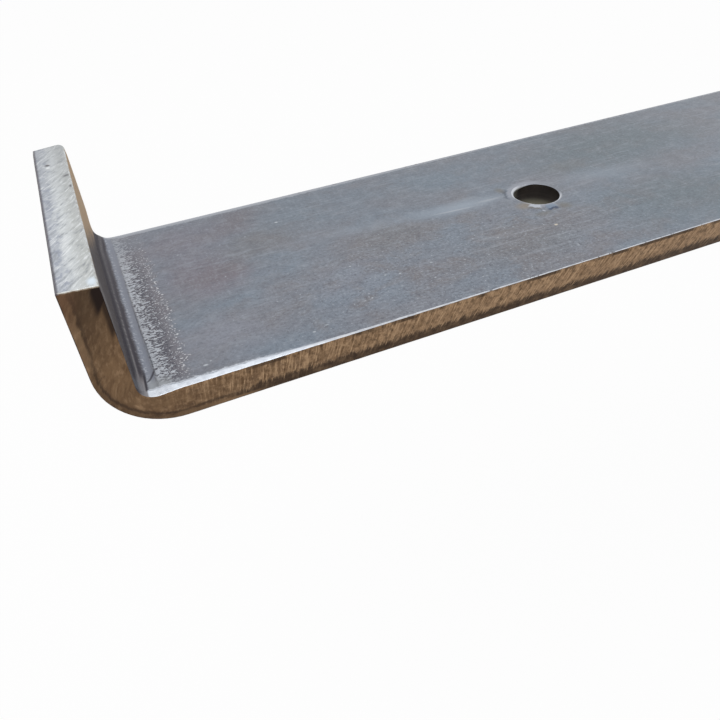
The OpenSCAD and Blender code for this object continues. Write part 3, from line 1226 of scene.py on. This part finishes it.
def mill_face():
    """The broad faces: blue-grey mill skin with tints, rubbed streaks, cracked scale and a folded line. The
    marks that belong to one place are on the seat face alone."""
    surface = Finish("mill_face", 0.9, "sheet")
    on_seat = surface.depth.step(0.75 * THICKNESS, 0.25 * THICKNESS)
    tinted_and_shaded_skin(surface)
    grain = grained(surface)
    skin = surface.colour
    rubbed_and_dented(surface)
    around_board_hole(surface)
    surface.colour = surface.mix(on_seat, skin, surface.colour)
    flaked = scale_band(surface)
    on_lip = lip_face(surface, on_seat)
    fold_marks(surface)
    worn_rims(surface, on_seat)
    surface.feed(surface.shader.inputs["Metallic"], on_lip.between(0.9, 0.2))
    dullness = surface.larger((grain + flaked).level(0.3, 1.6, 0.42, 0.3), on_lip * 0.7)
    return surface.finish(dullness, grain * 0.5 + flaked, 0.02)


# ---------------------------------------------------------------- the narrow sides
EDGE_TAN = srgb(128, 102, 76)
EDGE_LIGHT = srgb(168, 139, 109)
EDGE_STREAK = srgb(180, 150, 118)
EDGE_BROWN = srgb(100, 77, 57)
EDGE_DEEP = srgb(88, 65, 43)
EDGE_DARK = srgb(57, 43, 32)
EDGE_RED = srgb(104, 74, 56)
EDGE_BLACK = srgb(34, 24, 20)


def scribed_line_and_shade(surface):
    """Painted shade along the side's outer edge round the bend, and a fuzzy line that runs round the bend, a
    little inside the outer edge, and joins the dark strip.
    """
    place, depth = surface.place, surface.depth
    faint = surface.noise((1.2, 1.2, 1.2), 3.0, 0.7)
    outer = depth.step(1.45, 1.75) * place.window(-18.0, 9.5, 1.2)
    inwards = surface.carried("rim") + faint.drift(-0.16, 0.16)
    # Painted shade: the side darker along its outer edge round the bend
    shade = inwards.step(1.3, 0.6) * place.window(-9.0, 8.0, 1.5)
    surface.paint(shade * outer * 0.36, EDGE_DARK)
    path = place.level(-13.0, -7.0, 0.95, 0.68) + place.level(-1.5, 2.0, 0.0, 0.24)
    scribed = abs(inwards - path).step(0.32, 0.04) * outer
    surface.paint(scribed * faint.level(0.3, 0.6, 0.4, 0.72), EDGE_DARK)


def lip_side(surface):
    """The side of the lip: dulled towards its end, with a burnt blotch under the end's inner corner."""
    place, across, depth = surface.place, surface.across, surface.depth
    inner_part = depth.step(3.3, 2.7)
    surface.paint(place.level(-7.0, -14.5, 0.0, 0.7) * inner_part.between(0.4, 1.0), EDGE_DARK)
    surface.paint(depth.step(3.2, 3.5) * place.window(-15.5, -9.5, 1.0) * 0.2, EDGE_LIGHT)
    blotch = surface.patch((-13.8, HALF_WIDTH), (1.9, ENDLESS), 0.0, 0.6) * depth.step(1.5, 0.8)
    trail = place.window(-13.0, -8.6, 0.6) * depth.step(0.75, 0.3)
    surface.paint(surface.larger(blotch, trail * 0.8) * across.step(0.0, 1.0), EDGE_BLACK)
    surface.paint(place.step(-14.0, -18.5) * depth.step(1.8, 3.2) * 0.4, EDGE_RED)


def ground_edge():
    """The narrow sides: warm tan that is a painted reflection of a brown surround, with leaning grinding
    marks, a dark unground strip along the back, and painted shade under the top edge and round the bend.
    """
    surface = Finish("ground_edge", 0.85)
    place, depth = surface.place, surface.depth
    lean = place.level(*LEAN_PLACES, *LEAN_SLOPES)
    leaning = surface.combined(place + depth * lean, depth, surface.across)

    # The warm tan base is a painted reflection of a brown surround
    cloud = surface.noise((0.8, 0.9, 0.9), 3.0, 0.6)
    surface.colour = surface.mix(cloud.step(0.36, 0.64), EDGE_BROWN, EDGE_TAN)
    surface.paint(surface.noise((0.22, 0.3, 0.3), 2.0).step(0.4, 0.65) * 0.5, EDGE_TAN)
    surface.paint(place.level(4.0, 40.0, 0.0, 0.38), EDGE_LIGHT)
    surface.paint(place.level(16.0, 6.0, 0.0, 0.32), EDGE_DEEP)

    marks = surface.noise((3.6, 0.4, 1.0), 4.0, 0.75, vector=leaning)
    strength = place.level(1.0, 12.0, 0.0, 0.9)
    surface.paint(marks.step(0.49, 0.68) * strength, EDGE_STREAK)
    surface.paint(marks.step(0.49, 0.33) * strength, EDGE_DEEP)
    scuffs = surface.noise((0.7, 1.0, 1.0), 3.0, 0.6)
    surface.paint(scuffs.step(0.52, 0.7) * 0.35, EDGE_LIGHT)
    pitted = surface.noise((1.3, 1.5, 1.5), 3.0, 0.65)
    pitting = place.level(4.0, 18.0, 0.2, 0.5)
    surface.paint(pitted.step(0.49, 0.34) * pitting, EDGE_DARK)
    surface.paint(pitted.step(0.51, 0.68) * pitting, EDGE_STREAK)

    teeth = surface.noise((3.0, 0.2, 1.0), 5.0, 0.8, vector=leaning)
    strip_top = place.level(9.0, 13.0, 3.15, 2.75) + teeth.drift(-0.7, 0.7)
    below = (depth - strip_top).step(-0.22, 0.2)
    surface.paint(below * place.step(7.5, 11.5) * scuffs.level(0.35, 0.65, 1.0, 0.7), EDGE_DARK)
    # Where the pale edge above curls over, a broken line of painted shadow lies under it
    curled = surface.noise((0.22, 0.22, 0.22), 3.0, 0.6).step(0.46, 0.6)
    surface.paint(depth.step(0.55, 0.36) * curled * place.step(9.0, 14.0) * 0.8, EDGE_DARK)
    surface.paint(depth.step(3.45, 3.75) * place.window(3.0, 13.0, 2.0) * 0.8, EDGE_TAN)
    scribed_line_and_shade(surface)
    lip_side(surface)
    return surface.finish(marks.drift(0.55, 0.42), marks * strength + below * -0.6, 0.03)


# ---------------------------------------------------------------- the sawn ends
END_BRIGHT = srgb(206, 210, 212)
END_WARM = srgb(186, 189, 188)
END_BLUE = srgb(152, 158, 173)
END_LIGHT = srgb(230, 233, 235)
END_SHADE = srgb(142, 146, 152)
END_NICK = srgb(78, 74, 80)
END_OUTLINE = srgb(80, 75, 85)
END_GLINT = srgb(226, 238, 250)

# Nicks and bright spots on the lip's end, the first a painted highlight at its near inner corner: the middle
# across and in depth, the radii, the colour, the strength
END_SPOTS = (
    ((19.1, 0.4), (1.0, 0.7), END_GLINT, 0.7),
    ((-12.8, 2.3), (0.5, 0.5), END_NICK, 0.95),
    ((-11.9, 2.25), (0.5, 0.4), END_LIGHT, 0.8),
    ((-8.2, 0.3), (0.55, 0.7), END_NICK, 0.65),
    ((-4.6, 0.1), (0.6, 0.3), END_NICK, 0.75),
)


def sawn_end():
    """The ends of the bar: bright steel, brushed slantwise, bluish towards the outer face, with nicks, a
    painted highlight at the lip end's near inner corner and painted shade towards the far side.
    """
    surface = Finish("sawn_end", 0.9)
    across, depth = surface.across, surface.depth
    cloud = surface.noise((0.45, 0.8, 0.9), 4.0, 0.65)
    uneven = depth + cloud * 2.0
    surface.colour = surface.mix(uneven.step(3.0, 1.4), END_BRIGHT, END_WARM)
    surface.paint(uneven.step(2.8, 4.2) * 0.55, END_BLUE)
    smudges = surface.noise((0.8, 0.9, 0.9), 3.0, 0.6)
    surface.paint(depth.step(1.6, 2.8) * smudges.step(0.5, 0.62) * 0.75, END_BLUE)
    slanting = surface.combined(across - depth * END_SLANT, depth, 0.0)
    marks = surface.noise((1.35, 0.75, 1.0), 4.0, 0.7, 0.3, slanting)
    surface.paint(marks.step(0.48, 0.32) * 0.75, END_SHADE)
    surface.paint(marks.step(0.5, 0.68) * 0.8, END_LIGHT)
    # Painted shade: the end darker towards its far side
    surface.paint(across.level(4.0, -20.0, 0.0, 0.4), END_SHADE)
    on_lip = surface.place.step(1.0, 0.0)
    flat = surface.combined(across, depth, 0.0)
    for centre, radii, colour, strength in END_SPOTS:
        surface.paint(surface.patch(centre, radii, 0.0, 0.2, flat) * on_lip * strength, colour)
    surface.paint(depth.step(3.4, 3.68) * on_lip * 0.92, END_OUTLINE)
    return surface.finish(marks.drift(0.5, 0.38), marks, 0.03)


END_GREY = srgb(178, 178, 174)
END_SIDE = srgb(150, 138, 122)
END_BLACK = srgb(48, 43, 53)
END_SLATE = srgb(70, 64, 76)


def end_edge():
    """The rounded edges round both ends: dark and dull along the outer face, and like the ends elsewhere."""
    surface = Finish("end_edge", 0.8)
    depth = surface.depth
    cloud = surface.noise((0.9, 0.9, 0.9), 3.0, 0.65)
    surface.colour = surface.mix(cloud.step(0.4, 0.6), END_BRIGHT, END_GREY)
    dark = depth.step(3.55, 3.8)
    surface.paint(dark, surface.mix(cloud.step(0.35, 0.65), END_BLACK, END_SLATE))
    on_side = abs(surface.across).step(HALF_WIDTH - 0.1, HALF_WIDTH - 0.02)
    side_tint = surface.mix(cloud.step(0.4, 0.6), END_SIDE, EDGE_BROWN)
    surface.paint(on_side * depth.step(3.9, 3.5), side_tint)
    surface.feed(surface.shader.inputs["Metallic"], dark.between(0.8, 0.15))
    return surface.finish(cloud.drift(0.5, 0.4), cloud, 0.02)


# ---------------------------------------------------------------- the worn edges
WORN_WHITE = srgb(214, 220, 230)
WORN_GREY = srgb(160, 167, 178)
NARROW_PALE = srgb(212, 215, 221)
NARROW_GREY = srgb(190, 194, 202)
FAR_DULL = srgb(134, 140, 149)
BEND_DARK = srgb(70, 64, 68)
BEND_BROWN = srgb(96, 90, 92)
BEND_PALE = srgb(140, 138, 142)
WORN_TAN = srgb(126, 106, 88)


def arris():
    """The worn edges: bare bright metal, duller round the bends and on the back."""
    surface = Finish("arris", 0.9)
    place, across = surface.place, surface.across
    cloud = surface.noise((0.9, 0.9, 0.9), 3.0, 0.65)
    wide, tight = cloud.step(0.35, 0.65), cloud.step(0.4, 0.6)

    # The broad edge beside the lip is brightest along its middle and fades into the face
    inside = surface.carried("rim") + cloud.drift(-0.14, 0.14)
    white = surface.mix(wide, WORN_WHITE, WHITE_METAL)
    broad = surface.mix(inside.step(0.05, -0.24), WORN_GREY, white)
    narrow = surface.mix(wide, NARROW_GREY, NARROW_PALE)
    near = surface.mix(place.step(16.0, 27.0), broad, narrow)
    far = surface.mix(place.level(30.0, 80.0, 0.0, 1.0), FAR_WORN, FAR_DULL)
    surface.colour = surface.mix(across.step(-1.0, 1.0), far, near)

    around_bend = surface.mix(tight, BEND_DARK, BEND_BROWN)
    around_bend = surface.mix(place.step(-1.0, 0.9), around_bend, BEND_PALE)
    surface.paint(place.step(1.0, 0.8), around_bend)
    far_lip = place.step(-1.0, -4.0) * across.step(1.0, -1.0)
    surface.paint(far_lip, surface.mix(tight, LIP_TAN, WORN_TAN))
    burnt = place.window(-13.8, -8.5, 0.8) * across.step(-1.0, 1.0)
    surface.paint(burnt * 0.85, EDGE_BLACK)
    surface.paint(surface.depth.step(1.8, 2.2), surface.mix(tight, EDGE_BROWN, EDGE_DARK))
    nicks = surface.noise((1.4, 1.4, 1.4), 2.0).step(0.62, 0.68)
    surface.paint(nicks * place.step(25.0, 40.0) * 0.7, EDGE_DARK)
    return surface.finish(cloud.drift(0.45, 0.34), cloud, 0.02)


# ---------------------------------------------------------------- the holes' rims and walls
RIM_PLAIN = srgb(148, 152, 161)
RIM_CREAM = srgb(212, 206, 190)
BORE_SHADE = srgb(30, 24, 21)
BORE_SHADE_BROWN = srgb(40, 33, 28)
BORE_RING = srgb(70, 62, 54)
BORE_OLIVE = srgb(112, 109, 96)
BORE_LIT = srgb(136, 133, 122)


def rim():
    """The rims of the holes. The board hole's has painted highlights towards the lip and along its near side,
    and the lower part of each bevel takes the bore's painted olive light.
    """
    surface = Finish("rim", 0.9)
    cloud = surface.noise((1.2, 1.2, 1.2), 3.0, 0.65)
    angle = hole_angle(surface)
    # The pale parts are painted highlight where the rim catches the light
    towards_lip = surface.larger(angle.window(-176, -105, 18), angle.step(150, 175))
    lit = surface.larger(towards_lip, angle.window(34, 150, 14))
    surface.colour = surface.mix(lit, RIM_PLAIN, RIM_PALE)
    surface.paint(cloud.step(0.5, 0.7) * 0.4, RIM_PALE)
    surface.paint(angle.window(122, 146, 6) * 0.6, RIM_CREAM)
    # The bevel's lower part takes the painted olive light of the bore
    surface.paint(surface.depth.step(0.08, 0.34) * 0.75, BORE_OLIVE)
    return surface.finish(cloud.drift(0.45, 0.34), cloud, 0.02)


def bore():
    """The walls of the holes: near-black painted shade with the fine rings of the drill, and painted light
    towards the back and the lip.
    """
    surface = Finish("bore", 0.6)
    cloud = surface.noise((0.5, 0.5, 0.3), 3.0)
    # Painted shade: the bore near black
    surface.colour = surface.mix(cloud.step(0.35, 0.65), BORE_SHADE, BORE_SHADE_BROWN)
    rings = surface.noise((0.1, 0.1, 5.0), 3.0)
    surface.paint(rings.step(0.55, 0.75) * 0.25, BORE_RING)
    # Painted light towards the back face, where light comes in from below
    surface.paint(surface.depth.step(2.1, 3.4) * 0.9, BORE_OLIVE)
    # Painted light on the wall towards the lip
    towards_lip = surface.place.step(hole_reach - 0.8, hole_reach - 2.9) * surface.depth.step(-0.5, 0.9)
    surface.paint(towards_lip * 0.85, BORE_LIT)
    return surface.finish(rings.drift(0.6, 0.45), rings, 0.03)


# ---------------------------------------------------------------- floor, light and camera
def sees_background(tree):
    """1 for camera, glossy and transmission rays, which show the background, and 0 for the light it gives."""
    path = tree.nodes.new("ShaderNodeLightPath")
    value = path.outputs["Is Camera Ray"]
    for name in ("Is Glossy Ray", "Is Transmission Ray"):
        larger = tree.nodes.new("ShaderNodeMath")
        larger.operation = "MAXIMUM"
        tree.links.new(value, larger.inputs[0])
        tree.links.new(path.outputs[name], larger.inputs[1])
        value = larger.outputs[0]
    return value


# Half the floor's width in metres, how much of its white is its own glow, and the light of the world
FLOOR_HALF = 3.0
FLOOR_GLOW = 0.95
WORLD_LIGHT = 0.55
FLOOR_COLOUR = (0.9, 0.9, 0.9, 1.0)
FLOOR_ROUGHNESS = 0.9


def pale_floor():
    """A plain pale floor at the foot of the bracket. It shows white, and keeps a soft share of the shadow."""
    mesh = bpy.data.meshes.new("floor")
    sides = (-FLOOR_HALF, FLOOR_HALF)
    corners = [(x, y, cad_box[0].z) for x in sides for y in sides]
    mesh.from_pydata(corners, [], [(0, 2, 3, 1)])
    floor = bpy.data.objects.new("floor", mesh)
    bpy.context.scene.collection.objects.link(floor)
    material = bpy.data.materials.new("pale_floor")
    material.use_nodes = True
    tree = material.node_tree
    shader = tree.nodes["Principled BSDF"]
    shader.inputs["Base Color"].default_value = FLOOR_COLOUR
    shader.inputs["Roughness"].default_value = FLOOR_ROUGHNESS
    shader.inputs["Specular IOR Level"].default_value = 0.0
    glow = tree.nodes.new("ShaderNodeEmission")
    blend = tree.nodes.new("ShaderNodeMixShader")
    share = tree.nodes.new("ShaderNodeMath")
    share.operation = "MULTIPLY"
    share.inputs[1].default_value = FLOOR_GLOW
    tree.links.new(sees_background(tree), share.inputs[0])
    tree.links.new(share.outputs[0], blend.inputs[0])
    tree.links.new(shader.outputs[0], blend.inputs[1])
    tree.links.new(glow.outputs[0], blend.inputs[2])
    tree.links.new(blend.outputs[0], tree.nodes["Material Output"].inputs["Surface"])
    mesh.materials.append(material)


def white_world():
    """A world that shows white and gives a gentle even light."""
    world = bpy.data.worlds.new("studio")
    bpy.context.scene.world = world
    world.use_nodes = True
    tree = world.node_tree
    background = tree.nodes["Background"]
    background.inputs["Color"].default_value = (1.0, 1.0, 1.0, 1.0)
    strength = tree.nodes.new("ShaderNodeMapRange")
    strength.inputs["To Min"].default_value = WORLD_LIGHT
    strength.inputs["To Max"].default_value = 1.0
    tree.links.new(sees_background(tree), strength.inputs["Value"])
    tree.links.new(strength.outputs[0], background.inputs["Strength"])


def softbox(name, place, size, power):
    """A square lamp in metres and watts, aimed at the middle of the bracket."""
    light = bpy.data.lights.new(name, "AREA")
    light.size = size
    light.energy = power
    lamp = bpy.data.objects.new(name, light)
    target = (cad_box[0] + cad_box[1]) / 2
    lamp.location = place
    lamp.rotation_mode = "QUATERNION"
    lamp.rotation_quaternion = (target - Vector(place)).to_track_quat("-Z", "Y")
    bpy.context.scene.collection.objects.link(lamp)


# The lamps: the name, the place in metres, the size in metres and the power in watts
LAMPS = (
    ("key", (0.3, -0.6, 1.6), 1.2, 9.0),
    ("fill", (1.3, -0.9, 0.5), 1.0, 3.0),
)

# The camera was fitted to the photograph: its place in millimetres, its axes, and its lens and sensor. It
# sees what is between the last two distances, in metres.
CAMERA_PLACE = Vector((79.27, -197.44, 78.21))
CAMERA_FORWARD = Vector((-0.71896, 0.28247, -0.63507))
CAMERA_UP = Vector((-0.56392, 0.29709, 0.77055))
CAMERA_LENS = 33.38
CAMERA_SENSOR = 36.0
CAMERA_NEAR = 0.005
CAMERA_FAR = 20.0


def photograph_camera():
    """A camera where the photograph was taken from."""
    data = bpy.data.cameras.new("camera")
    data.lens = CAMERA_LENS
    data.sensor_width = CAMERA_SENSOR
    data.sensor_fit = "HORIZONTAL"
    data.clip_start = CAMERA_NEAR
    data.clip_end = CAMERA_FAR
    camera = bpy.data.objects.new("camera", data)
    right = CAMERA_FORWARD.cross(CAMERA_UP).normalized()
    up = right.cross(CAMERA_FORWARD).normalized()
    axes = Matrix((right, up, -CAMERA_FORWARD.normalized())).transposed()
    camera.matrix_world = Matrix.Translation(CAMERA_PLACE * MM) @ axes.to_4x4()
    bpy.context.scene.collection.objects.link(camera)
    bpy.context.scene.camera = camera


# ---------------------------------------------------------------- the scene
bar_piece = bent_bar()
for make_finish in (mill_face, ground_edge, sawn_end, arris, end_edge, rim, bore):
    bar_piece.data.materials.append(make_finish())
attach(bar_piece, "root")
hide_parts("bracket")

pale_floor()
white_world()
for lamp_values in LAMPS:
    softbox(*lamp_values)
photograph_camera()
bpy.context.scene.view_settings.view_transform = "Standard"
